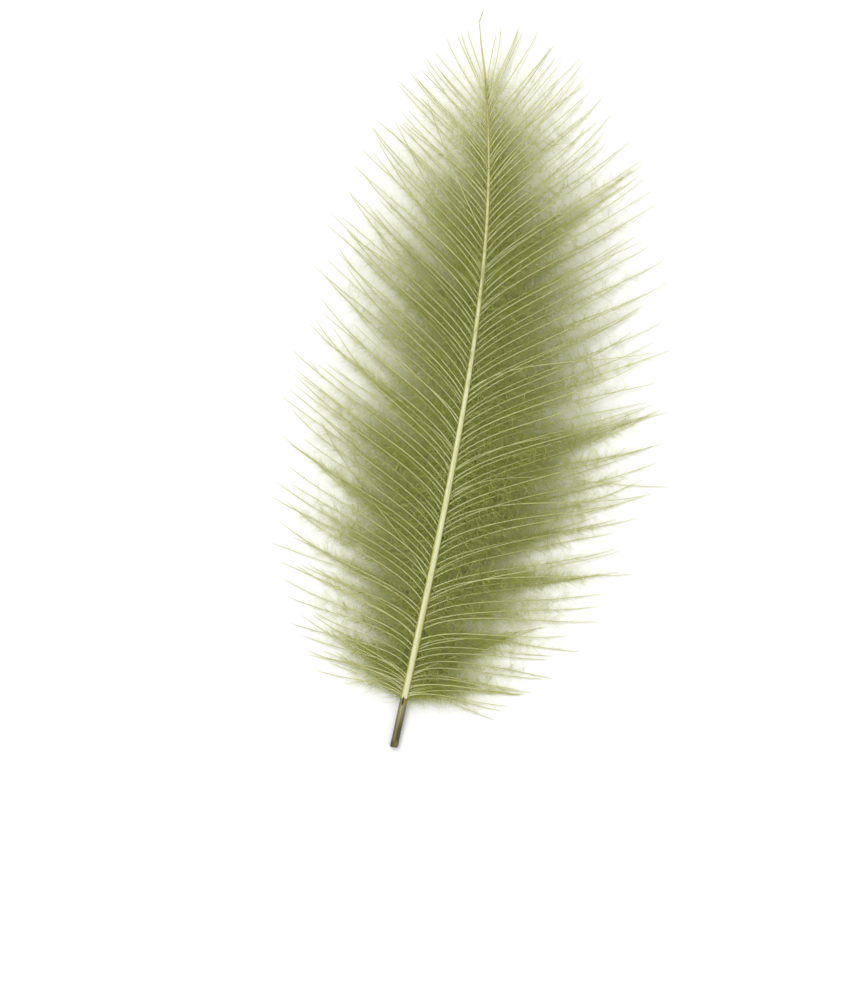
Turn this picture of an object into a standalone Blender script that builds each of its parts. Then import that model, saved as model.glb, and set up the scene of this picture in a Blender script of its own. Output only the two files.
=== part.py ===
# A cul de canard feather, lying on a flat surface with its outer face up.
# The feather grew as one piece, so the quill, the shaft and the locks of barbs are fused in one solid.
# Metres, +Z up. +Y runs from the cut end of the quill to the tip, +X to the right seen from above.
import math
import random

import bmesh
import bpy
from mathutils import Vector

MM = 0.001

# Shaft: the line through the middle of the quill, drawn from the cut end (0) to the tip (1)
CHORD = 57.8 * MM  # straight distance from the cut end to where the fine kinked end starts
BOW = 5.2 * MM  # how strongly the shaft bows to the right
BOW_POWER = 3  # above 1, the bow is fullest past the middle
ARCH = 2.9 * MM  # height that the barbs under it hold the middle of the shaft up
ARCH_POWER = 1.5  # above 1, both ends of the shaft lie level
QUILL_DIAMETER = 0.64 * MM
SHAFT_END_DIAMETER = 0.10 * MM
SHAFT_TAPER_POWER = 1.7
QUILL_BULB = 0.06  # share by which the cut end is swollen
BULB_SHARE = 0.015  # share of the shaft that the swelling takes
KINK = ((-0.38 * MM, 1.76 * MM), (-0.12 * MM, 2.95 * MM))  # the bent hair past the tip, from the tip
SHAFT_STEPS = 34
SHAFT_CORNERS = 2  # corners added to each quarter of the shaft's round

# Locks of barbs
FIRST_BARB = 0.071  # share of the shaft where the lowest barbs grow
LAST_BARB = 0.935
LOCKS_A_SIDE = 33
LONGEST_BARB = 17.5 * MM
LONGEST_AT = 0.38  # share of the barbed stretch
TIP_BARB_SHARE = 0.40  # length of the barbs at the tip, as a share of the longest
TIP_FALL_POWER = 2  # higher gives a squarer top to the feather
BASE_BARB_SHARE = 0.50
BASE_FALL_POWER = 2.5
SIDE_SHARE = {-1: 0.96, 1: 1.06}  # the left vane is a little narrower than the right
LOCK_STEPS = 8
LOCK_FILL = 0.88  # share of the space between two locks that a lock fills
NARROWEST_LOCK = 0.34 * MM  # half the width of the locks at the tip
LOCK_FLATNESS = 0.55  # thickness over width
LOCK_SIDES = 6
ROOT_SHARE = 0.5  # width of a lock at the shaft, as a share of its widest
WIDEST_AT = 0.4  # share of its length where a lock has swollen to its full width
TIP_SHARE = 0.07  # width of a lock's tip, as a share of its widest
POINT_POWER = 3  # higher keeps a lock wide until nearer its tip
LOCK_CURL = 0.18  # share of a barb over which it turns away from the shaft
LIFTS = (4.0, 19.0, -9.0, 12.0)  # degrees that the locks rise from the shaft, taken in turn
DROOP = 34.0  # degrees that a lock bends down from root to tip
SETTLE = 0.6 * MM  # height over which a lock eases on to the surface
FOOT_SHARE = 0.25  # share of its half thickness that a foot would sink, and so is cut flat
FLOOR_DEPTH = 4 * MM  # depth of the block that cuts the feet

# Barb direction in degrees from the shaft, at stations along the barbed stretch
ROOT_ANGLES = ((0.0, 50.0), (0.3, 38.0), (0.7, 34.0), (0.94, 28.0), (1.0, 9.0))
OUTER_ANGLES = ((0.0, 94.0), (0.2, 72.0), (0.5, 60.0), (0.8, 51.0), (0.94, 42.0), (1.0, 15.0))
WANDER = 3.0  # degrees that a lock strays from these
UNEVEN = 0.05  # share by which a lock's length strays

SEED = 1
WELD = 0.0001 * MM  # points nearer than this are one

# The origin is under the middle of the feather's box
MIDDLE = Vector((3.06 * MM, 30.5 * MM, 0.0))

DYED_OLIVE = (0.36, 0.40, 0.15, 1.0)
BARB_ROUGHNESS = 0.6


def clear_scene():
    for old in list(bpy.data.objects):
        bpy.data.objects.remove(old, do_unlink=True)


def make_collection(name):
    collection = bpy.data.collections.new(name)
    bpy.context.scene.collection.children.link(collection)
    return collection


def at_station(stations, t):
    """The value at t between a list of (place, value) stations."""
    for (low, first), (high, second) in zip(stations, stations[1:]):
        if t <= high:
            return first + (second - first) * (t - low) / (high - low)
    return stations[-1][1]


def shaft_point(share):
    bow = BOW * share * (1 - share**BOW_POWER)
    arch = ARCH * math.sin(math.pi * max(0.0, min(share, 1.0))) ** ARCH_POWER
    return Vector((bow, CHORD * share, quill_radius(share) * (1 - FOOT_SHARE) + arch))


def quill_radius(share):
    end = SHAFT_END_DIAMETER / 2
    bulb = 1 + QUILL_BULB * max(0.0, 1 - share / BULB_SHARE)
    return (end + (QUILL_DIAMETER / 2 - end) * (1 - max(0.0, share) ** SHAFT_TAPER_POWER)) * bulb


def shaft_direction(share):
    step = 0.001
    run = shaft_point(share + step) - shaft_point(share - step)
    run.z = 0
    return run.normalized()


def barb_length(t):
    if t > LONGEST_AT:
        fall = (1 - TIP_BARB_SHARE) * ((t - LONGEST_AT) / (1 - LONGEST_AT)) ** TIP_FALL_POWER
    else:
        fall = (1 - BASE_BARB_SHARE) * ((LONGEST_AT - t) / LONGEST_AT) ** BASE_FALL_POWER
    return LONGEST_BARB * (1 - fall)


def resting_height(height, lowest):
    """A height that never goes below the lowest one, and eases on to it."""
    return lowest + SETTLE * math.log1p(math.exp((height - lowest) / SETTLE))


def lock_route(side, t, lift, stray, stretch):
    """Points along the middle of a lock, from inside the shaft to its tip."""
    share = FIRST_BARB + (LAST_BARB - FIRST_BARB) * t
    along = shaft_direction(share)
    outward = Vector((along.y, -along.x, 0)) * side
    root_angle = at_station(ROOT_ANGLES, t)
    outer_angle = at_station(OUTER_ANGLES, t) + stray
    step = barb_length(t) * SIDE_SHARE[side] * stretch / (LOCK_STEPS - 1)
    point = shaft_point(share)
    route = [point.copy()]
    for i in range(1, LOCK_STEPS):
        u = (i - 0.5) / (LOCK_STEPS - 1)
        turn = 1 - math.exp(-u / LOCK_CURL)
        heading = math.radians(root_angle + (outer_angle - root_angle) * turn)
        rise = math.radians(lift - DROOP * u)
        level = along * math.cos(heading) + outward * math.sin(heading)
        point = point + (level * math.cos(rise) + Vector((0, 0, math.sin(rise)))) * step
        route.append(point.copy())
    return route


def lock_width(t, u):
    """Half the width of a lock, a share u of its length from the shaft."""
    spacing = CHORD * (LAST_BARB - FIRST_BARB) / (LOCKS_A_SIDE - 1)
    across = spacing * math.sin(math.radians(at_station(OUTER_ANGLES, t)))
    widest = max(NARROWEST_LOCK, LOCK_FILL * across / 2)
    swell = ROOT_SHARE + (1 - ROOT_SHARE) * min(1.0, u / WIDEST_AT)
    return widest * (swell * (1 - u**POINT_POWER) * (1 - TIP_SHARE) + TIP_SHARE)


def curve_object(name, points, radii, collection):
    curve = bpy.data.curves.new(name, "CURVE")
    curve.dimensions = "3D"
    curve.twist_mode = "Z_UP"
    curve.use_fill_caps = True
    spline = curve.splines.new("POLY")
    spline.points.add(len(points) - 1)
    for slot, point, radius in zip(spline.points, points, radii):
        slot.co = (*point, 1)
        slot.radius = radius
    made = bpy.data.objects.new(name, curve)
    collection.objects.link(made)
    return made


def mesh_from_curve(made):
    """The curve's tube as one closed mesh, in the curve's place."""
    graph = bpy.context.evaluated_depsgraph_get()
    mesh = bpy.data.meshes.new_from_object(made.evaluated_get(graph))
    shape = bmesh.new()
    shape.from_mesh(mesh)
    bmesh.ops.remove_doubles(shape, verts=shape.verts, dist=WELD)
    bmesh.ops.recalc_face_normals(shape, faces=shape.faces)
    shape.to_mesh(mesh)
    shape.free()
    name, place = made.name, made.matrix_world.copy()
    home = made.users_collection[0]
    bpy.data.objects.remove(made)
    solid = bpy.data.objects.new(name, mesh)
    solid.matrix_world = place
    home.objects.link(solid)
    return solid


def make_shaft(collection):
    """The quill and shaft in one tapered tube, with the kinked hair at its tip."""
    shares = [i / SHAFT_STEPS for i in range(SHAFT_STEPS + 1)]
    shares.insert(1, BULB_SHARE)
    points = [shaft_point(share) for share in shares]
    radii = [quill_radius(share) for share in shares]
    for x, y in KINK:
        points.append(shaft_point(1.0) + Vector((x, y, 0)))
        radii.append(SHAFT_END_DIAMETER / 2)
    shaft = curve_object("feather", [p - MIDDLE for p in points], radii, collection)
    shaft.data.bevel_depth = 1.0
    shaft.data.bevel_resolution = SHAFT_CORNERS
    return mesh_from_curve(shaft)


def make_lock_section(collection):
    """The flattened outline that every lock is swept with."""
    curve = bpy.data.curves.new("lock_section", "CURVE")
    curve.dimensions = "2D"
    spline = curve.splines.new("POLY")
    spline.points.add(LOCK_SIDES - 1)
    spline.use_cyclic_u = True
    for i, slot in enumerate(spline.points):
        turn = 2 * math.pi * i / LOCK_SIDES
        slot.co = (math.cos(turn), LOCK_FLATNESS * math.sin(turn), 0, 1)
    section = bpy.data.objects.new("lock_section", curve)
    section.hide_render = True
    section.display_type = "WIRE"
    collection.objects.link(section)
    return section


def make_lock(name, side, t, lift, chance, section, collection):
    widths = [lock_width(t, i / (LOCK_STEPS - 1)) for i in range(LOCK_STEPS)]
    stray = chance.uniform(-WANDER, WANDER)
    stretch = 1 + chance.uniform(-UNEVEN, UNEVEN)
    route = lock_route(side, t, lift, stray, stretch)
    for point, width in zip(route[1:], widths[1:]):
        half_thickness = width * LOCK_FLATNESS * math.sin(2 * math.pi / LOCK_SIDES)
        point.z = resting_height(point.z, half_thickness * (1 - FOOT_SHARE))
    lock = curve_object(name, [p - MIDDLE for p in route], widths, collection)
    lock.data.bevel_mode = "OBJECT"
    lock.data.bevel_object = section
    lock = mesh_from_curve(lock)
    lock.hide_render = True
    lock.display_type = "WIRE"
    return lock


def make_floor_cutter(collection):
    """The surface that the feather rests on, which flattens the feet of the lowest locks."""
    bpy.ops.mesh.primitive_cube_add(size=1, location=(0, 0, -FLOOR_DEPTH / 2))
    cutter = bpy.context.object
    cutter.name = "resting_surface"
    cutter.scale = (2 * CHORD, 2 * CHORD, FLOOR_DEPTH)
    cutter.hide_render = True
    cutter.display_type = "WIRE"
    for home in list(cutter.users_collection):
        home.objects.unlink(cutter)
    collection.objects.link(cutter)
    return cutter


def dyed_barbs():
    material = bpy.data.materials.new("dyed_olive_barbs")
    material.use_nodes = True
    shader = material.node_tree.nodes["Principled BSDF"]
    shader.inputs["Base Color"].default_value = DYED_OLIVE
    shader.inputs["Roughness"].default_value = BARB_ROUGHNESS
    shader.inputs["Metallic"].default_value = 0.0
    return material


def main():
    clear_scene()
    feather_collection = make_collection("cul_de_canard_feather")
    locks = make_collection("locks")
    cutters = make_collection("cutters")
    section = make_lock_section(cutters)
    feather = make_shaft(feather_collection)
    chance = random.Random(SEED)
    for side, word in ((-1, "left"), (1, "right")):
        for i in range(LOCKS_A_SIDE):
            t = i / (LOCKS_A_SIDE - 1)
            lift = LIFTS[(i + (side > 0)) % len(LIFTS)]
            make_lock(f"{word}_lock_{i + 1}", side, t, lift, chance, section, locks)
    joined = feather.modifiers.new("locks", "BOOLEAN")
    joined.operation = "UNION"
    joined.operand_type = "COLLECTION"
    joined.collection = locks
    joined.solver = "EXACT"
    rested = feather.modifiers.new("feet", "BOOLEAN")
    rested.operation = "DIFFERENCE"
    rested.object = make_floor_cutter(cutters)
    rested.solver = "EXACT"
    feather.data.materials.clear()
    feather.data.materials.append(dyed_barbs())


main()
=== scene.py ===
import math

import bpy
import numpy as np
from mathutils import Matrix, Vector


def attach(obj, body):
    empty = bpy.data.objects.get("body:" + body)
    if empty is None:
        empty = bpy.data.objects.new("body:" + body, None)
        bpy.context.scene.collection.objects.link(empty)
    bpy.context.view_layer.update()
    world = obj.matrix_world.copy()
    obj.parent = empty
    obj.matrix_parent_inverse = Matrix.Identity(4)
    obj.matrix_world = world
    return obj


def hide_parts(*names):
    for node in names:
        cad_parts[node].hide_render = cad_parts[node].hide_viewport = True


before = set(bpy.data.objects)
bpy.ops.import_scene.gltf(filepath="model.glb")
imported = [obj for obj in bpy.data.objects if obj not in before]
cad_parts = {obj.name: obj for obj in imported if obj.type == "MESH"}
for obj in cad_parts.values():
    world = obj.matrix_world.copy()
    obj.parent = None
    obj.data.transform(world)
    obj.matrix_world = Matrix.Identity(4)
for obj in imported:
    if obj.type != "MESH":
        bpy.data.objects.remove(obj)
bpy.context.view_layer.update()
mm = 0.001
up = np.array((0.0, 0.0, 1.0))

# The lines of the whole feather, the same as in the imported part.
# A share of the shaft is 0 at the cut end and 1 at the start of the kinked hair.
form = {
    "chord": 57.8 * mm,  # straight from the cut end to the start of the kinked hair
    "bow": 5.2 * mm,
    "bowPower": 3,  # above 1, the bow is fullest past the middle
    "arch": 2.9 * mm,  # the barbs hold the middle of the shaft up
    "archPower": 1.5,
    "quillDiameter": 0.64 * mm,
    "endDiameter": 0.10 * mm,
    "taperPower": 1.7,
    "bulb": 0.06,  # the cut end is swollen by this share
    "bulbShare": 0.015,
    "lie": 0.75,  # height of the quill's middle above the table, in its own radius
    "firstBarb": 0.071,
    "lastBarb": 0.935,
    "longestBarb": 17.5 * mm,
    "longestAt": 0.38,  # share of the stretch that has barbs
    "tipBarbShare": 0.40,
    "tipFallPower": 2,
    "baseBarbShare": 0.50,
    "baseFallPower": 2.5,
    "sideShare": {-1: 0.96, 1: 1.06},  # the left vane is a little narrower than the right
    # barb directions in degrees from the shaft, at the root and further out
    "rootAngles": ((0.0, 50.0), (0.3, 38.0), (0.7, 34.0), (0.94, 28.0), (1.0, 9.0)),
    "outerAngles": ((0.0, 94.0), (0.2, 72.0), (0.5, 60.0), (0.8, 51.0), (0.94, 42.0), (1.0, 15.0)),
    "curl": 0.18,  # share of a barb over which it turns away from the shaft
    "droop": 34.0,  # degrees that a barb bends down from root to tip
    "settle": 0.6 * mm,  # height over which a barb eases on to the table
    "middle": (3.06 * mm, 30.5 * mm, 0.0),  # of the feather's box, from the cut end
}


def shaftRadius(share):
    end = form["endDiameter"] / 2
    bulb = 1 + form["bulb"] * np.clip(1 - share / form["bulbShare"], 0, None)
    taper = 1 - np.clip(share, 0, None) ** form["taperPower"]
    return (end + (form["quillDiameter"] / 2 - end) * taper) * bulb


def shaftPoint(share):
    share = np.asarray(share, float)
    x = form["bow"] * share * (1 - share ** form["bowPower"])
    arch = form["arch"] * np.sin(math.pi * np.clip(share, 0, 1)) ** form["archPower"]
    z = shaftRadius(share) * form["lie"] + arch
    return np.stack([x, form["chord"] * share, z], -1) - form["middle"]


def unit(vectors):
    return vectors / np.linalg.norm(vectors, axis=-1, keepdims=True)


def shaftHeading(share):
    step = 0.001
    run = shaftPoint(share + step) - shaftPoint(share - step)
    run[..., 2] = 0
    return unit(run)


def atStations(stations, t):
    return np.interp(t, [place for place, _ in stations], [value for _, value in stations])


def barbLength(t):
    longestAt = form["longestAt"]
    top = np.clip((t - longestAt) / (1 - longestAt), 0, 1) ** form["tipFallPower"]
    base = np.clip((longestAt - t) / longestAt, 0, 1) ** form["baseFallPower"]
    fall = (1 - form["tipBarbShare"]) * top + (1 - form["baseBarbShare"]) * base
    return form["longestBarb"] * (1 - fall)


# Small helpers for modelling
def deselectAll():
    if bpy.context.object and bpy.context.object.mode != "OBJECT":
        bpy.ops.object.mode_set(mode="OBJECT")
    bpy.ops.object.select_all(action="DESELECT")


def takeTemplate(obj):
    # corner places and triangles of a finished little form, which is then deleted
    bpy.ops.object.mode_set(mode="EDIT")
    bpy.ops.mesh.select_all(action="SELECT")
    bpy.ops.mesh.quads_convert_to_tris()
    bpy.ops.mesh.normals_make_consistent(inside=False)
    bpy.ops.object.mode_set(mode="OBJECT")
    places = np.array([v.co[:] for v in obj.data.vertices])
    triangles = np.array([p.vertices[:] for p in obj.data.polygons])
    bpy.data.objects.remove(obj, do_unlink=True)
    return places, triangles


def joinCopies(name, places, triangles, uv, material):
    # places: copies x corners x 3, uv: copies x corners x 2; every copy keeps its own mesh part
    copies, corners = places.shape[:2]
    faces = (triangles[None] + (np.arange(copies) * corners)[:, None, None]).reshape(-1, 3)
    mesh = bpy.data.meshes.new(name)
    mesh.vertices.add(copies * corners)
    mesh.vertices.foreach_set("co", places.reshape(-1).astype(np.float32))
    mesh.loops.add(faces.size)
    mesh.loops.foreach_set("vertex_index", faces.reshape(-1).astype(np.int32))
    mesh.polygons.add(len(faces))
    mesh.polygons.foreach_set("loop_start", np.arange(0, faces.size, 3, dtype=np.int32))
    mesh.polygons.foreach_set("use_smooth", np.ones(len(faces), bool))
    layer = mesh.uv_layers.new(name="OFBake")
    loopUv = uv.reshape(-1, 2)[faces.reshape(-1)]
    layer.uv.foreach_set("vector", loopUv.reshape(-1).astype(np.float32))
    mesh.update(calc_edges=True)
    obj = bpy.data.objects.new(name, mesh)
    bpy.context.scene.collection.objects.link(obj)
    obj.data.materials.append(material)
    return obj


# Small helpers for materials
def hexColour(code):
    parts = [int(code[i:i + 2], 16) / 255 for i in (1, 3, 5)]
    linear = [p / 12.92 if p <= 0.04045 else ((p + 0.055) / 1.055) ** 2.4 for p in parts]
    return (*linear, 1.0)


def addNode(tree, kind, links=None, values=None, **settings):
    # links maps the node's inputs to other nodes' outputs, values maps them to constants
    node = tree.nodes.new(kind)
    for key, value in settings.items():
        setattr(node, key, value)
    for slot, value in (values or {}).items():
        node.inputs[slot].default_value = value
    for slot, source in (links or {}).items():
        tree.links.new(source, node.inputs[slot])
    return node


def addRamp(tree, source, stops):
    node = addNode(tree, "ShaderNodeValToRGB", {0: source})
    ramp = node.color_ramp
    while len(ramp.elements) < len(stops):
        ramp.elements.new(0.5)
    for element, (place, colour) in zip(ramp.elements, stops):
        element.position = place
        element.color = hexColour(colour)
    return node.outputs["Color"]


def newMaterial(name, roughness, ior, values=None):
    material = bpy.data.materials.new(name)
    material.use_nodes = True
    tree = material.node_tree
    shader = tree.nodes["Principled BSDF"]
    shader.inputs["Roughness"].default_value = roughness
    shader.inputs["IOR"].default_value = ior
    for slot, value in (values or {}).items():
        shader.inputs[slot].default_value = value
    return material, tree, shader


def letLightThrough(tree, shader, colour, share):
    # fibres this fine pass much of the light, tinted, on to what lies under them
    glow = addNode(tree, "ShaderNodeBsdfTranslucent", values={"Color": hexColour(colour)})
    mix = addNode(tree, "ShaderNodeMixShader", {1: shader.outputs[0], 2: glow.outputs[0]},
                  {0: share})
    tree.links.new(mix.outputs[0], tree.nodes["Material Output"].inputs["Surface"])


# Barbs and barbules share one colour map: every column of it is one lock of neighbouring
# barbs, and up the map goes from the shaft to the barbs' ends.
lockColumns = 36
columnMargin = 0.1  # share of a column that stays empty on each side

dye = {
    "barbRoot": "#EAEBB4",
    "barbMiddle": "#E4E5A8",
    "barbTip": "#DAD998",
    "barbStops": (0.0, 0.45, 1.0),  # along a barb
    "barbGlow": "#E2E494",  # light that has come through a barb
    "barbGlowShare": 0.38,
    "barbRough": 0.45,
    "fineRoot": "#C6CC72",
    "fineMiddle": "#D3D880",
    "fineTip": "#DEE292",
    "fineGlow": "#EBF090",
    "fineGlowShare": 0.82,
    "curledRoot": "#D1D67C",
    "curledMiddle": "#DBDF8C",
    "curledTip": "#E6E8A2",
    "curledGlow": "#E1E580",
    "curledGlowShare": 0.52,
    "downStops": (0.1, 0.45, 0.9),  # along a barbule
    "downRough": 0.75,
    "sheen": 0.12,
    "sheenRough": 0.6,
    "sheenTint": "#D2D690",
    "lockTones": 0.06,  # how much lighter or darker a lock is
    "fibreTones": 0.24,  # the same for a single barbule
    "fibreRows": 480,  # tones along a barb of 17.5 mm: one each 0.036 mm, the width of a barbule
    "keratinIor": 1.54,
}


def lockTone(tree, split, amount):
    # a slightly different tone for each lock, where the dye took more or less
    scaled = addNode(tree, "ShaderNodeMath", {0: split.outputs["X"]}, {1: lockColumns},
                     operation="MULTIPLY")
    number = addNode(tree, "ShaderNodeMath", {0: scaled.outputs[0]}, operation="FLOOR")
    chance = addNode(tree, "ShaderNodeTexWhiteNoise", {"W": number.outputs[0]},
                     noise_dimensions="1D")
    tone = addNode(tree, "ShaderNodeMapRange", {"Value": chance.outputs["Value"]},
                   {"To Min": 1 - amount, "To Max": 1 + amount})
    return tone.outputs[0], scaled.outputs[0]


# Barb shafts: thin horny keratin dyed in the fibre, smooth with a soft gloss, and palest
# at the shaft. To the eye they are the bright lines of the vane.
def makeBarbKeratin():
    material, tree, shader = newMaterial("dyedBarbKeratin", dye["barbRough"], dye["keratinIor"])
    uv = addNode(tree, "ShaderNodeUVMap", uv_map="OFBake")
    split = addNode(tree, "ShaderNodeSeparateXYZ", {0: uv.outputs[0]})
    tone, _ = lockTone(tree, split, dye["lockTones"])
    colours = (dye["barbRoot"], dye["barbMiddle"], dye["barbTip"])
    along = addRamp(tree, split.outputs["Y"], tuple(zip(dye["barbStops"], colours)))
    toned = addNode(tree, "ShaderNodeHueSaturation", {"Color": along, "Value": tone})
    tree.links.new(toned.outputs[0], shader.inputs["Base Color"])
    letLightThrough(tree, shader, dye["barbGlow"], dye["barbGlowShare"])
    return material


# Barbules: the finest down, dyed and left matt, with a sheen where many catch the light.
# To the eye they are the deep olive haze between the barbs, and glow where it is thin.
def makeBarbuleDown(name, kind):
    material, tree, shader = newMaterial(name, dye["downRough"], dye["keratinIor"], {
        "Sheen Weight": dye["sheen"],
        "Sheen Roughness": dye["sheenRough"],
        "Sheen Tint": hexColour(dye["sheenTint"]),
    })
    uv = addNode(tree, "ShaderNodeUVMap", uv_map="OFBake")
    split = addNode(tree, "ShaderNodeSeparateXYZ", {0: uv.outputs[0]})
    tone, scaled = lockTone(tree, split, dye["lockTones"])
    outward = addNode(tree, "ShaderNodeMath", {0: scaled}, operation="FRACT")
    colours = (dye[kind + "Root"], dye[kind + "Middle"], dye[kind + "Tip"])
    fibre = addRamp(tree, outward.outputs[0], tuple(zip(dye["downStops"], colours)))
    # single barbules differ too, by their place along the barb
    rows = addNode(tree, "ShaderNodeVectorMath", {0: uv.outputs[0]},
                   {1: (lockColumns, dye["fibreRows"], 1)}, operation="MULTIPLY")
    row = addNode(tree, "ShaderNodeVectorMath", {0: rows.outputs[0]}, operation="FLOOR")
    chance = addNode(tree, "ShaderNodeTexWhiteNoise", {"Vector": row.outputs[0]},
                     noise_dimensions="2D")
    single = addNode(tree, "ShaderNodeMapRange", {"Value": chance.outputs["Value"]},
                     {"To Min": 1 - dye["fibreTones"], "To Max": 1 + dye["fibreTones"]})
    both = addNode(tree, "ShaderNodeMath", {0: tone, 1: single.outputs[0]}, operation="MULTIPLY")
    toned = addNode(tree, "ShaderNodeHueSaturation", {"Color": fibre, "Value": both.outputs[0]})
    tree.links.new(toned.outputs[0], shader.inputs["Base Color"])
    letLightThrough(tree, shader, dye[kind + "Glow"], dye[kind + "GlowShare"])
    return material


shaft = {
    "sides": 20,
    "rings": 90,
    "endRings": (0.0014, 0.004, 0.008),  # more rings where the cut end is worn round
    "wornEnd": (0.82, 0.95),  # what is left of the first two rings' radius
    "wall": 0.11 * mm,
    "hollow": 2.2 * mm,
    "rimShare": 0.1,  # share of the hollow that has the colour of the outside
    "kink": (
        (-0.16 * mm, 0.80 * mm),
        (-0.38 * mm, 1.76 * mm),
        (-0.25 * mm, 2.35 * mm),
        (-0.12 * mm, 2.95 * mm),
    ),  # bends of the hair at the tip, across and along
    "kinkRise": 0.05 * mm,
    "kinkDiameter": 0.06 * mm,
    "hairPoint": 0.4,  # the hair's end, as a share of its own width
    "smoothAngle": 50.0,
    "mapTop": 1.06,  # the share of the shaft that the top of its map stands for
}

quillColours = {
    "cream": "#E0E1B8",
    "creamStreak": "#C8CA84",
    "edge": "#A8A548",
    "shaftTip": "#C4C07A",
    "horn": "#4A411E",
    "hornPaintedHighlight": "#7A7440",
    # painted highlight along the top of the horn
    "hornDark": "#2A2310",
    "hornPaintedReflection": "#B0AC86",
    # whitish painted reflections on the horn near the pith
    "hornGreen": "#88854C",
    "amber": "#8A7A2C",
    "rim": "#6E661C",
    "rimDark": "#2C260C",
    # painted shade inside the hollow of the quill
    "inside": "#2A2216",
}

# Where each colour starts and ends. Round is 0.5 on top of the shaft and 0 and 1 underneath,
# along is the share of the shaft, streak is the streaks' own strength.
marks = {
    "streakWide": 0.126 * mm,  # streaks run along the shaft, one in five of its width
    "streakLong": 6.8 * mm,
    "streakDetail": 5.0,
    "streakRough": 0.65,
    "creamStreak": (0.42, 0.66),
    "edgeFromTop": (0.07, 0.17),
    "tipAlong": (0.5, 0.95),
    # the pale band just left of the top is a painted highlight, the dark sides painted shade
    "hornRound": ((0.30, "hornDark"), (0.44, "hornPaintedHighlight"), (0.55, "horn"), (0.68, "hornDark")),
    # near the pith: whitish painted reflections on top, painted shade at the sides
    "paintedReflectionRound": ((0.30, "horn"), (0.40, "hornGreen"), (0.48, "hornPaintedReflection"), (0.57, "hornGreen"),
                  (0.70, "hornDark")),
    "paintedReflectionAlong": (0.020, 0.058),
    "hornStreak": (0.45, 0.75),
    "amberRound": (0.49, 0.57),
    "amberAlong": (0.055, 0.063),
    "pithAlong": (0.0695, 0.0715),  # the horn of the quill ends here
    "spotPlace": (0.465, 0.0665, 0),
    "spotReach": (0.055, 0.0085, 1),
    "spotSoft": (1.0, 0.55),  # from the spot's outline inward
    "rimRound": ((0.36, "rimDark"), (0.56, "rim"), (0.70, "rimDark")),
    "rimAlong": (0.013, 0.005),
    "ridges": 0.3,
    "ridgeHeight": 0.02 * mm,
    "gloss": 0.26,
    "insideRough": 0.6,
    "insideGrain": 0.25 * mm,
    "insideStops": (0.35, 0.7),
}


# Shaft and quill: solid keratin polished by wear, cream with olive sides. The bare quill is
# empty horn, brown and see-through, with a painted highlight along its top, whitish painted
# reflections near the pith and painted shade at its edges.
def makeShaftKeratin():
    material, tree, shader = newMaterial("polishedShaftKeratin", marks["gloss"],
                                         dye["keratinIor"])
    uv = addNode(tree, "ShaderNodeUVMap", uv_map="OFBake")
    whole = addNode(tree, "ShaderNodeMapping", {0: uv.outputs[0]},
                    {"Scale": (1, shaft["mapTop"], 1)}).outputs[0]
    split = addNode(tree, "ShaderNodeSeparateXYZ", {0: whole})
    turn, along = split.outputs["X"], split.outputs["Y"]
    across = round(math.pi * form["quillDiameter"] / marks["streakWide"])
    lengthwise = round(form["chord"] * shaft["mapTop"] / marks["streakLong"])
    streakCoords = addNode(tree, "ShaderNodeMapping", {0: uv.outputs[0]},
                           {"Scale": (across, lengthwise, 1)})
    streak = addNode(tree, "ShaderNodeTexNoise", {"Vector": streakCoords.outputs[0]}, {
        "Scale": 1.0,
        "Detail": marks["streakDetail"],
        "Roughness": marks["streakRough"],
    }).outputs[0]

    def mixed(factor, under, over):
        # each colour is a name from quillColours or another node's output
        links, values = {0: factor}, {}
        for slot, colour in ((6, under), (7, over)):
            if isinstance(colour, str):
                values[slot] = hexColour(quillColours[colour])
            else:
                links[slot] = colour
        return addNode(tree, "ShaderNodeMix", links, values, data_type="RGBA").outputs[2]

    def between(value, limits):
        return addNode(tree, "ShaderNodeMapRange", {"Value": value},
                       {"From Min": limits[0], "From Max": limits[1]},
                       interpolation_type="SMOOTHSTEP").outputs[0]

    def roundRamp(stops):
        return addRamp(tree, turn, [(place, quillColours[name]) for place, name in stops])

    cream = mixed(between(streak, marks["creamStreak"]), "cream", "creamStreak")
    fromTop = addNode(tree, "ShaderNodeMath", {0: turn}, {1: 0.5}, operation="SUBTRACT")
    side = addNode(tree, "ShaderNodeMath", {0: fromTop.outputs[0]}, operation="ABSOLUTE")
    edged = mixed(between(side.outputs[0], marks["edgeFromTop"]), cream, "edge")
    stem = mixed(between(along, marks["tipAlong"]), edged, "shaftTip")
    # painted highlight along the top and painted shade at the sides, with painted reflections near
    # the pith
    horn = mixed(between(along, marks["paintedReflectionAlong"]), roundRamp(marks["hornRound"]),
                 roundRamp(marks["paintedReflectionRound"]))
    horn = mixed(between(streak, marks["hornStreak"]), horn, "hornDark")
    # amber on one side where the horn turns to pith, and a dark spot at the end of the hollow
    amber = addNode(tree, "ShaderNodeMath", {
        0: between(turn, marks["amberRound"]),
        1: between(along, marks["amberAlong"]),
    }, operation="MULTIPLY")
    horn = mixed(amber.outputs[0], horn, "amber")
    body = mixed(between(along, marks["pithAlong"]), horn, stem)
    spot = addNode(tree, "ShaderNodeMapping", {0: whole},
                   {"Location": marks["spotPlace"], "Scale": marks["spotReach"]},
                   vector_type="TEXTURE")
    away = addNode(tree, "ShaderNodeVectorMath", {0: spot.outputs[0]}, operation="LENGTH")
    body = mixed(between(away.outputs["Value"], marks["spotSoft"]), body, "hornDark")
    colour = mixed(between(along, marks["rimAlong"]), body, roundRamp(marks["rimRound"]))
    tree.links.new(colour, shader.inputs["Base Color"])
    bump = addNode(tree, "ShaderNodeBump", {"Height": streak},
                   {"Strength": marks["ridges"], "Distance": marks["ridgeHeight"]})
    tree.links.new(bump.outputs[0], shader.inputs["Normal"])
    return material
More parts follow.
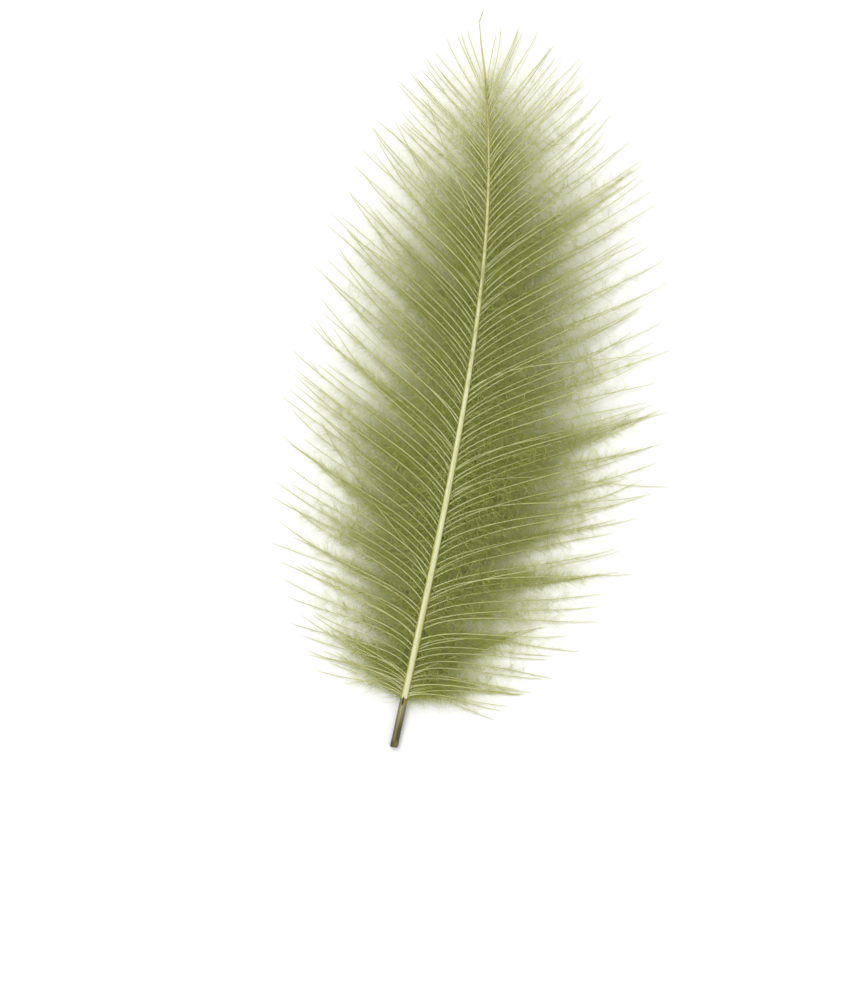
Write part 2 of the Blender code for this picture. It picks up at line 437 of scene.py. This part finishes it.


# Inside of the cut end: bare horn, dry with a faint grain, painted dark as shade so the hole reads
# as deep
def makeHollowHornPaintedShade():
    material, tree, shader = newMaterial("hollowQuillHornPaintedShade", marks["insideRough"],
                                         dye["keratinIor"])
    place = addNode(tree, "ShaderNodeTexCoord")
    grain = addNode(tree, "ShaderNodeTexNoise", {"Vector": place.outputs["Object"]},
                    {"Scale": 1 / marks["insideGrain"]})
    # painted shade, dark with a faint grain
    colours = (quillColours["inside"], quillColours["hornDark"])
    colour = addRamp(tree, grain.outputs[0], tuple(zip(marks["insideStops"], colours)))
    tree.links.new(colour, shader.inputs["Base Color"])
    return material


barbKeratin = makeBarbKeratin()
fineBarbules = makeBarbuleDown("dyedFineBarbules", "fine")
curledBarbules = makeBarbuleDown("dyedCurledBarbules", "curled")
shaftKeratin = makeShaftKeratin()
hollowHornPaintedShade = makeHollowHornPaintedShade()
print("materials ready")


# The shaft, drawn out ring by ring from its cut end to the end of the kinked hair
def makeShaft():
    shares = np.linspace(0, 1, shaft["rings"] + 1)
    shares = np.sort(np.append(shares, (*shaft["endRings"], form["bulbShare"])))
    centres = [Vector(p) for p in shaftPoint(shares)]
    radii = list(shaftRadius(shares))
    for i, left in enumerate(shaft["wornEnd"]):
        radii[i] *= left
    for x, y in shaft["kink"]:
        centres.append(Vector(shaftPoint(1.0)) + Vector((x, y, shaft["kinkRise"])))
        radii.append(shaft["kinkDiameter"] / 2)
    radii[-1] *= shaft["hairPoint"]
    shares = list(shares) + [1 + y / form["chord"] for _, y in shaft["kink"]]
    deselectAll()
    bpy.ops.mesh.primitive_circle_add(vertices=shaft["sides"], radius=radii[0],
                                      fill_type="NGON", location=centres[0],
                                      rotation=(math.pi / 2, 0, 0))
    obj = bpy.context.object
    obj.name = obj.data.name = "quill_and_shaft"
    bpy.ops.object.transform_apply(location=True, rotation=True, scale=True)
    bpy.ops.object.mode_set(mode="EDIT")
    bpy.ops.mesh.select_all(action="SELECT")
    for before, after, radius, grown in zip(centres, centres[1:], radii, radii[1:]):
        bpy.ops.mesh.extrude_region_move(TRANSFORM_OT_translate={"value": after - before})
        bpy.ops.transform.resize(value=[grown / radius] * 3, center_override=after)
    bpy.ops.object.mode_set(mode="OBJECT")
    return obj, shares, centres


def openQuillEnd(obj):
    # the cut end of the quill is a tube: its cap is inset by the wall and pushed in
    deselectAll()
    bpy.context.view_layer.objects.active = obj
    obj.select_set(True)
    cap = min(obj.data.polygons, key=lambda p: p.center.y)
    for part in (obj.data.vertices, obj.data.edges, obj.data.polygons):
        part.foreach_set("select", np.zeros(len(part), bool))
    cap.select = True
    inward = Vector(shaftPoint(shaft["hollow"] / form["chord"]) - shaftPoint(0.0))
    rim, rest = inward * shaft["rimShare"], inward * (1 - shaft["rimShare"])
    bpy.ops.object.mode_set(mode="EDIT")
    bpy.ops.mesh.select_mode(type="FACE")
    bpy.ops.mesh.inset(thickness=shaft["wall"])
    bpy.ops.mesh.extrude_region_move(TRANSFORM_OT_translate={"value": rim})
    bpy.ops.object.mode_set(mode="OBJECT")
    obj.data.materials.append(shaftKeratin)
    obj.data.materials.append(hollowHornPaintedShade)
    bpy.ops.object.mode_set(mode="EDIT")
    obj.active_material_index = 1
    bpy.ops.object.material_slot_assign()
    bpy.ops.mesh.extrude_region_move(TRANSFORM_OT_translate={"value": rest})
    bpy.ops.object.material_slot_assign()
    bpy.ops.object.mode_set(mode="OBJECT")


def layOutShaft(obj, shares, centres):
    # map: across is the way round with its seam underneath, up is the share of the shaft
    mesh = obj.data
    layer = mesh.uv_layers.new(name="OFBake")
    stations = [centre.y for centre in centres]

    def wayRound(place):
        x, z = (np.interp(place.y, stations, [centre[i] for centre in centres]) for i in (0, 2))
        return math.atan2(place.x - x, place.z - z)

    for face in mesh.polygons:
        middle = wayRound(face.center)
        for loop in face.loop_indices:
            place = mesh.vertices[mesh.loops[loop].vertex_index].co
            turn = middle + (wayRound(place) - middle + math.pi) % (2 * math.pi) - math.pi
            share = np.interp(place.y, stations, shares)
            layer.uv[loop].vector = (0.5 + turn / (2 * math.pi), share / shaft["mapTop"])


def restOnTable(obj):
    # the lowest part of the quill is pressed flat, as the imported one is
    for vertex in obj.data.vertices:
        vertex.co.z = max(vertex.co.z, 0.0)


quill, quillShares, quillCentres = makeShaft()
openQuillEnd(quill)
layOutShaft(quill, quillShares, quillCentres)
restOnTable(quill)
deselectAll()
quill.select_set(True)
bpy.context.view_layer.objects.active = quill
bpy.ops.object.shade_smooth_by_angle(angle=math.radians(shaft["smoothAngle"]))
print("shaft has", len(quill.data.polygons), "faces")

# Barbs: the side branches, each a fine tapered keratin rod. Angles are in degrees, and t is
# the share of the stretch that has barbs.
barbs = {
    "aSide": 84,
    "jitter": 0.24,  # of the space between two barbs
    "tuft": 8,  # more barbs a side where the quill ends, with the widest angles
    "tuftShare": 0.035,
    "tuftStray": 17.0,
    "tuftTurn": -6.8,  # towards the tip
    "tuftLengths": (0.6, 1.15),
    "wild": 16,  # more barbs a side that stray over the others, nearly bare
    "wildStray": 11.0,
    "wildFluff": 0.3,
    "sides": 5,
    "segments": 22,
    "widths": (
        (0.0, 0.115 * mm),
        (0.08, 0.1035 * mm),
        (0.5, 0.078 * mm),
        (0.9, 0.0546 * mm),
        (1.0, 0.021 * mm),
    ),  # along a barb
    "tall": 1.15,  # a barb is a little taller than wide
    "lockSize": 3,  # neighbours that share a height and a tone
    "lifts": (4.0, 19.0, -9.0, 12.0),  # in turn for neighbouring locks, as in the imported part
    "liftShare": 0.11,  # how much of that spread the single barbs keep
    "liftStray": 1.3,
    "lockStray": 0.4,
    "stray": 1.0,
    "rootStray": 3.0,
    "uneven": 0.10,  # how much their lengths differ
    "unevenLimits": (-0.24, 0.08),
    "lengthsAlong": ((0.0, 1.0), (0.88, 1.0), (1.0, 0.84)),
    "curlBack": 9.0,  # the outer end turns back to the feather's tip
    "curlPower": 3,
    "sweep": 5.0,  # the outer half swings to either side, so that the ends cross
    "sweepPower": 2,
    "wobble": 2.0,
    "waveCounts": (1.0, 2.0, 3.5),  # waves on a barb, long ones and finer ones on top
    "waveSizes": (1.0, 0.6, 0.35),
    "waveStretch": (0.5, 1.0),
    "lowest": 0.10 * mm,
    "easing": 0.12,  # share of a barb before the table can hold it up in full
    "clearance": 0.004 * mm,
    "mapEnds": 0.005,
    "seed": 12,
}


def makeBarbForm():
    # one straight barb of unit length on +Z, ringed so that it can follow a curve
    deselectAll()
    bpy.ops.mesh.primitive_cylinder_add(vertices=barbs["sides"], radius=1, depth=1,
                                        location=(0, 0, 0.5))
    obj = bpy.context.object
    bpy.ops.object.transform_apply(location=True, rotation=True, scale=True)
    bpy.ops.object.mode_set(mode="EDIT")
    for i in range(1, barbs["segments"]):
        bpy.ops.mesh.select_all(action="SELECT")
        bpy.ops.mesh.bisect(plane_co=(0, 0, i / barbs["segments"]), plane_no=(0, 0, 1))
    bpy.ops.object.mode_set(mode="OBJECT")
    return takeTemplate(obj)


def smoothChance(rng, count, every):
    # random values that drift from one barb to the next, a new one every few barbs
    knots = rng.normal(0, 1, count // every + 3)
    return np.interp(np.arange(count) / every, np.arange(len(knots)), knots)


def placeBarbs(rng):
    # places of all barbs of a side, in order, with which are in the tuft and which are wild
    count = barbs["aSide"]
    even = np.linspace(0, 1, count) + rng.uniform(-1, 1, count) * barbs["jitter"] / count
    tufts = rng.uniform(0, barbs["tuftShare"], barbs["tuft"])
    strays = (np.arange(barbs["wild"]) + rng.random(barbs["wild"])) / barbs["wild"]
    t = np.concatenate([tufts, np.clip(even, 0, 1), strays])
    kinds = np.repeat([0, 1, 2], [len(tufts), len(even), len(strays)])
    order = np.argsort(t)
    return t[order], kinds[order] == 0, kinds[order] == 2


def sideOfBarbs(side, rng):
    # points on the curve of every barb of one side, its length and how much down it has
    t, tuft, wild = placeBarbs(rng)
    count, steps = len(t), barbs["segments"]
    share = form["firstBarb"] + (form["lastBarb"] - form["firstBarb"]) * t
    along = shaftHeading(share)
    outward = np.stack([along[:, 1], -along[:, 0], np.zeros(count)], -1) * side
    lock = np.arange(count) // barbs["lockSize"]
    lift = np.array(barbs["lifts"])[(lock + (side > 0)) % len(barbs["lifts"])]
    lift = lift * barbs["liftShare"] + rng.normal(0, barbs["liftStray"], count)
    stray = smoothChance(rng, count, barbs["lockSize"]) * barbs["lockStray"]
    stray = stray + rng.normal(0, barbs["stray"], count)
    stray = np.where(wild, rng.normal(0, barbs["wildStray"], count), stray)
    stray = np.where(tuft, rng.normal(barbs["tuftTurn"], barbs["tuftStray"], count), stray)
    stretch = 1 + rng.normal(0, barbs["uneven"], count).clip(*barbs["unevenLimits"])
    stretch = np.where(tuft, rng.uniform(*barbs["tuftLengths"], count), stretch)
    stretch = stretch * atStations(barbs["lengthsAlong"], t)
    length = barbLength(t) * form["sideShare"][side] * stretch

    u = (np.arange(steps) + 0.5) / steps
    phase = rng.uniform(0, 2 * math.pi, (count, 3, 1))
    pace = rng.uniform(*barbs["waveStretch"], (count, 3, 1))
    pace = pace * np.array(barbs["waveCounts"])[None, :, None]
    wave = np.sin(2 * math.pi * pace * u + phase) * np.array(barbs["waveSizes"])[None, :, None]
    sideWave = wave.sum(1) * barbs["wobble"] * u
    upWave = wave[:, ::-1].sum(1) * barbs["wobble"] * u
    root = atStations(form["rootAngles"], t) + rng.normal(0, barbs["rootStray"], count)
    outer = atStations(form["outerAngles"], t) + stray
    turn = 1 - np.exp(-u / form["curl"])
    heading = root[:, None] + (outer - root)[:, None] * turn
    heading = heading - barbs["curlBack"] * u ** barbs["curlPower"]
    # neighbours swing against each other, which keeps the vane even
    swing = np.abs(rng.normal(0, barbs["sweep"], count)) * np.where(np.arange(count) % 2, 1, -1)
    heading = np.radians(heading + swing[:, None] * u ** barbs["sweepPower"] + sideWave)
    rise = np.radians(lift[:, None] - form["droop"] * u + upWave)
    level = along[:, None] * np.cos(heading)[..., None]
    level = level + outward[:, None] * np.sin(heading)[..., None]
    move = level * np.cos(rise)[..., None] + up * np.sin(rise)[..., None]
    points = np.concatenate([np.zeros((count, 1, 3)), np.cumsum(move, axis=1)], axis=1)
    points = shaftPoint(share)[:, None] + points * (length / steps)[:, None, None]

    # what would sink through the table lies on it
    above = (points[..., 2] - barbs["lowest"]) / form["settle"]
    settled = barbs["lowest"] + form["settle"] * np.logaddexp(0, above)
    eased = np.clip(np.linspace(0, 1, steps + 1) / barbs["easing"], 0, 1)
    points[..., 2] += (settled - points[..., 2]) * eased
    keep = atStations(fluff["keptAlongShaft"], t) * np.where(wild, barbs["wildFluff"], 1.0)
    return points, length, keep


def curveFrames(points):
    # forward, sideways and upward directions at every point of every curve
    forward = unit(np.gradient(points, axis=1))
    sideways = unit(np.cross(up, forward))
    return forward, sideways, np.cross(forward, sideways)


def makeBarbs(name, points, columns, barbForm):
    places, triangles = barbForm
    ring = np.rint(places[:, 2] * barbs["segments"]).astype(int)
    _, sideways, upward = curveFrames(points)
    half = atStations(barbs["widths"], places[:, 2])[None, :, None] / 2
    around = sideways[:, ring] * places[None, :, 0, None]
    around = around + upward[:, ring] * places[None, :, 1, None] * barbs["tall"]
    corners = points[:, ring] + half * around
    corners[..., 2] = np.maximum(corners[..., 2], barbs["clearance"])
    turn = np.arctan2(places[:, 0], -places[:, 1]) / (2 * math.pi) + 0.5
    across = columnMargin + (1 - 2 * columnMargin) * turn[None]
    across = (columns[:, None] + across) / lockColumns
    rise = barbs["mapEnds"] + (1 - 2 * barbs["mapEnds"]) * places[:, 2]
    uv = np.stack([across, np.broadcast_to(rise, across.shape)], -1)
    print(name, "has", len(points), "barbs")
    return joinCopies(name, corners, triangles, uv, barbKeratin)


# Barbules: the down itself, finer than a hair, set along both sides of every barb. Real ones
# are about 0.01 mm thick, too fine to show, so these are two to four times as coarse and fewer.
fluff = {
    "width": 0.026 * mm,
    "widthPower": 0.4,  # short ones are thinner
    "thinnest": 0.7,
    "thickPower": 3,  # the higher, the fewer thick ones
    "longest": 1.7 * mm,
    "lengths": (0.55, 1.1),
    # by the distance in mm to the end of the barb, which is bare
    "lengthToEnd": ((0.0, 0.5), (4.0, 0.9), (8.0, 1.0)),
    "keptToEnd": ((1.4, 0.0), (3.6, 0.08), (6.5, 0.27), (10.0, 0.56), (15.0, 1.0)),
    "widthToEnd": ((0.0, 0.5), (6.0, 0.68), (12.0, 0.95)),
    # by the share of the stretch that has barbs, more than 1 where the down is thickest
    "keptAlongShaft": ((0.0, 1.7), (0.3, 1.2), (0.45, 1.0), (0.6, 1.0), (0.85, 0.88),
                       (1.0, 0.62)),
    "lean": ((0.0, 54.0), (0.5, 54.0), (1.0, 42.0)),  # degrees away from the barb
    "leanLimits": (0.12, 1.5),  # radians
    "lowestEnd": 0.01 * mm,
    "clearance": 0.003 * mm,
    "mapStart": 0.01,
    "mapSpan": 0.95,
    "mapWide": 0.012,
    "seed": 5,
}
fineDown = {
    "everyMm": 98,  # places along a barb, before thinning
    "thinning": 1.0,
    "wide": 1.0,
    "coarser": 0.7,  # the thickest is this much wider than the thinnest
    "long": 1.0,
    "leanStray": 21.0,
    "hang": 49.0,  # degrees that they hang below the vane, so that the barbs show on top
    "roll": 29.0,
    "toneFrom": 0.1,  # where in its column a barbule takes its first colour
    "bend": 0.0,
}
curledDown = {
    "everyMm": 21,
    "thinning": 1.6,  # above 1, the outer ends are barer
    "wide": 1.7,
    "coarser": 0.8,
    "long": 1.25,
    "leanStray": 34.0,
    "hang": 20.0,
    "roll": 26.0,
    "toneFrom": 0.5,
    "bend": 0.22,  # of a barbule's own length
    "bendStray": 0.6,
}


def makeBarbuleForm(bent):
    # a three-sided point of unit length on +Z; the bent kind has a joint half way
    deselectAll()
    bpy.ops.mesh.primitive_cone_add(vertices=3, radius1=1, radius2=0, depth=1,
                                    location=(0, 0, 0.5))
    obj = bpy.context.object
    bpy.ops.object.transform_apply(location=True, rotation=True, scale=True)
    if bent:
        bpy.ops.object.mode_set(mode="EDIT")
        bpy.ops.mesh.select_all(action="SELECT")
        bpy.ops.mesh.bisect(plane_co=(0, 0, 0.5), plane_no=(0, 0, 1))
        bpy.ops.object.mode_set(mode="OBJECT")
    return takeTemplate(obj)


def placeBarbules(lengths, keep, kind, rng):
    # which barb each barbule grows on, and how far out
    barb, u = [], []
    for i, length in enumerate(lengths):
        count = int(kind["everyMm"] * length / mm)
        spot = (np.arange(count) + rng.random(count)) / count
        kept = atStations(fluff["keptToEnd"], (1 - spot) * length / mm) * keep[i]
        spot = spot[rng.random(count) < kept ** kind["thinning"]]
        barb.append(np.full(len(spot), i))
        u.append(spot)
    return np.concatenate(barb), np.concatenate(u)


def makeBarbules(name, points, lengths, keep, columns, barbuleForm, kind, rng):
    places, triangles = barbuleForm
    barb, u = placeBarbules(lengths, keep, kind, rng)
    steps = points.shape[1] - 1
    low = np.minimum((u * steps).astype(int), steps - 1)
    rest = (u * steps - low)[:, None]

    def along(values):
        return values[barb, low] * (1 - rest) + values[barb, low + 1] * rest

    base = along(points)
    ahead, aside, above = (unit(along(values)) for values in curveFrames(points))
    number = len(u)
    toEnd = (1 - u) * lengths[barb] / mm
    hand = np.where(rng.random(number) < 0.5, -1.0, 1.0)
    lean = atStations(fluff["lean"], u) + rng.normal(0, kind["leanStray"], number)
    lean = np.radians(lean).clip(*fluff["leanLimits"])
    roll = np.radians(rng.normal(-kind["hang"], kind["roll"], number))
    long = fluff["longest"] * atStations(fluff["lengthToEnd"], toEnd)
    long = long * rng.uniform(*fluff["lengths"], number) * kind["long"]
    out = aside * (hand * np.cos(roll))[:, None] + above * np.sin(roll)[:, None]
    way = ahead * np.cos(lean)[:, None] + out * np.sin(lean)[:, None]
    way[:, 2] = np.maximum(way[:, 2], (fluff["lowestEnd"] - base[:, 2]) / long)
    way = unit(way)
    axisA = unit(np.cross(way, ahead))
    axisB = np.cross(way, axisA)
    half = fluff["width"] / 2 * (long / fluff["longest"]) ** fluff["widthPower"]
    half = half * atStations(fluff["widthToEnd"], toEnd) * kind["wide"]
    thick = rng.random(number) ** fluff["thickPower"]
    half = half * (fluff["thinnest"] + kind["coarser"] * thick)

    height = places[None, :, 2, None]
    around = axisA[:, None] * places[None, :, 0, None] + axisB[:, None] * places[None, :, 1, None]
    corners = base[:, None] + way[:, None] * height * long[:, None, None]
    corners = corners + half[:, None, None] * around
    if kind["bend"]:
        # an even bow, fullest at the joint half way
        sway = rng.normal(1.0, kind["bendStray"], number) * kind["bend"] * long
        corners = corners + axisB[:, None] * sway[:, None, None] * 4 * height * (1 - height)
    corners[..., 2] = np.maximum(corners[..., 2], fluff["clearance"])
    tone = kind["toneFrom"] + (1 - columnMargin - kind["toneFrom"]) * places[None, :, 2]
    across = (columns[barb][:, None] + tone) / lockColumns
    spread = 1 + places[None, :, 0] * (1 - places[None, :, 2])
    rise = fluff["mapStart"] + fluff["mapSpan"] * u[:, None] + fluff["mapWide"] * spread
    obj = joinCopies(name, corners, triangles, np.stack([across, rise], -1),
                     curledBarbules if kind["bend"] else fineBarbules)
    print(name, "has", len(obj.data.polygons), "triangles")
    return obj


feather = [quill]
barbForm = makeBarbForm()
straightForm, bentForm = makeBarbuleForm(False), makeBarbuleForm(True)
barbChance = np.random.default_rng(barbs["seed"])
fluffChance = np.random.default_rng(fluff["seed"])
for side, word in ((-1, "left"), (1, "right")):
    points, lengths, keep = sideOfBarbs(side, barbChance)
    columns = np.arange(len(points)) // barbs["lockSize"]
    feather.append(makeBarbs(f"barbs_{word}", points, columns, barbForm))
    half = len(points) // 2
    for part, rows in (("lower", slice(0, half)), ("upper", slice(half, None))):
        feather.append(makeBarbules(f"down_{word}_{part}", points[rows], lengths[rows],
                                    keep[rows], columns[rows], straightForm, fineDown,
                                    fluffChance))
    feather.append(makeBarbules(f"curled_down_{word}", points, lengths, keep, columns,
                                bentForm, curledDown, fluffChance))
total = sum(len(p.vertices) - 2 for o in feather for p in o.data.polygons)
print("feather has", total, "triangles")

for piece in feather:
    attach(piece, "root")
    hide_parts("feather")

# Table, light and camera
studio = {
    "table": "#FBFBFA",
    "tableSize": 1.6,
    "paperRough": 0.9,
    "paperIor": 1.5,
    "world": "#FFFFFF",
    "worldPower": 0.86,
    "keyPower": 1.7,
    "keySize": 0.25,
    "keyPlace": (-0.30, 0.28, 0.55),
    "distance": 0.52,
    "view": (0.29 * mm, 20.35 * mm),  # the middle of the picture, from the cut end
    "roll": 7.08,  # degrees that the feather leans in the photograph
    "wide": 69.85 * mm,  # what the picture shows across
    "sensor": 36.0,
    "clipStart": 0.01,
}


# Smooth white paper, quite matt, so that the only thing to see on it is a soft shadow
def makeTable():
    deselectAll()
    bpy.ops.mesh.primitive_plane_add(size=studio["tableSize"], location=(0, 0, 0))
    table = bpy.context.object
    table.name = "table"
    material, _, shader = newMaterial("whitePaper", studio["paperRough"], studio["paperIor"])
    shader.inputs["Base Color"].default_value = hexColour(studio["table"])
    table.data.materials.append(material)


def makeLights():
    world = bpy.data.worlds.new("softbox_room")
    world.use_nodes = True
    back = world.node_tree.nodes["Background"]
    back.inputs["Color"].default_value = hexColour(studio["world"])
    back.inputs["Strength"].default_value = studio["worldPower"]
    bpy.context.scene.world = world
    light = bpy.data.lights.new("window_softbox", "AREA")
    light.shape = "SQUARE"
    light.size = studio["keySize"]
    light.energy = studio["keyPower"]
    key = bpy.data.objects.new("window_softbox", light)
    key.location = studio["keyPlace"]
    key.rotation_euler = (-Vector(studio["keyPlace"])).to_track_quat("-Z", "Y").to_euler()
    bpy.context.scene.collection.objects.link(key)


def makeCamera():
    data = bpy.data.cameras.new("camera")
    data.sensor_fit = "HORIZONTAL"
    data.sensor_width = studio["sensor"]
    data.lens = studio["sensor"] * studio["distance"] / studio["wide"]
    data.clip_start = studio["clipStart"]
    camera = bpy.data.objects.new("camera", data)
    x, y = (a - b for a, b in zip(studio["view"], form["middle"]))
    camera.location = (x, y, studio["distance"])
    camera.rotation_euler = (0, 0, math.radians(studio["roll"]))
    bpy.context.scene.collection.objects.link(camera)
    bpy.context.scene.camera = camera


makeTable()
makeLights()
makeCamera()
bpy.context.scene.view_settings.view_transform = "Standard"
print("studio ready")
